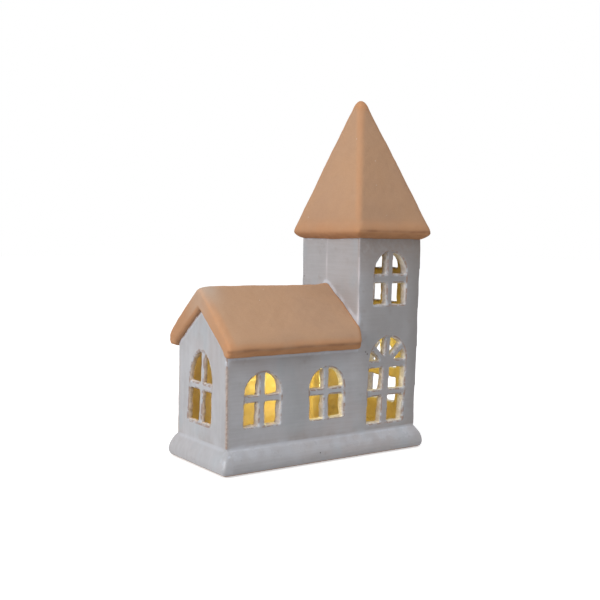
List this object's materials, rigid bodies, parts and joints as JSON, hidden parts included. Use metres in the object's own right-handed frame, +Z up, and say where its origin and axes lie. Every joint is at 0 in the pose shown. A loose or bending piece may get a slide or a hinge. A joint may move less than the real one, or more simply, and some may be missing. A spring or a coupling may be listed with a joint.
{
  "type": "led christmas chapel",
  "caption": "Lit ceramic chapel ornament: gabled nave, tower with pyramid spire and arched windows on a moulded plinth, with a battery light unit in its base.",
  "frame": {"origin": "middle of the whole object seen from above, on the plane it rests on", "axes": "+X along the building from the gable towards the tower, -Y the front with the nave windows, +Z up"},
  "size_m": [0.1654, 0.0804, 0.2408],
  "materials": {
    "wall_glaze": "pale grey-lavender semi-gloss glaze, brushed, breaking brown on edges",
    "roof_clay": "bare matt peach terracotta, darker towards edges",
    "case_plastic": "moulded white plastic",
    "door_plastic": "moulded white plastic with grip ribs",
    "knob_plastic": "black plastic",
    "contact_nickel": "nickel-plated spring steel",
    "cell_sleeve": "plain printed sleeve with bare steel ends, no lettering",
    "board_laminate": "green solder-masked laminate",
    "switch_steel": "folded steel can",
    "screw_steel": "zinc-plated",
    "resistor_body": "lacquered",
    "lead_black": "vinyl sleeve",
    "lead_red": "vinyl sleeve",
    "pad_felt": "grey-brown felt",
    "foam": "closed-cell foam",
    "lamp_epoxy": "clear warm-white lamp, lit"
  },
  "bodies": {
    "house": {"base_plinth": "wall_glaze", "nave_front_wall": "wall_glaze", "nave_back_wall": "wall_glaze", "gable_wall": "wall_glaze", "tower_front_wall": "wall_glaze", "tower_back_wall": "wall_glaze", "tower_end_wall": "wall_glaze", "tower_inner_wall": "wall_glaze", "nave_roof": "roof_clay", "spire_roof": "roof_clay", "light_case": "case_plastic", "board_cover": "case_plastic", "foam_pad": "foam", "battery_1": "cell_sleeve", "battery_2": "cell_sleeve", "minus_contact": "contact_nickel", "plus_contact": "contact_nickel", "bridge_contact": "contact_nickel", "contact_spring_1": "contact_nickel", "contact_spring_2": "contact_nickel", "circuit_board": "board_laminate", "resistor": "resistor_body", "switch_body": "switch_steel", "led_lamp": "lamp_epoxy", "black_lead": "lead_black", "red_lead": "lead_red", "cover_screw_1": "screw_steel", "cover_screw_2": "screw_steel", "foot_pad_1": "pad_felt", "foot_pad_2": "pad_felt", "foot_pad_3": "pad_felt", "foot_pad_4": "pad_felt"},
    "battery_door": {"battery_door": "door_plastic"},
    "switch_knob": {"switch_knob": "knob_plastic"}
  },
  "joints": [
    {"name": "door_slide", "type": "slide", "parent": "house", "child": "battery_door", "axis": [1, 0, 0], "range_m": [0, 0.05]},
    {"name": "switch_slide", "type": "slide", "parent": "house", "child": "switch_knob", "axis": [1, 0, 0], "range_m": [-0.004, 0]}
  ]
}
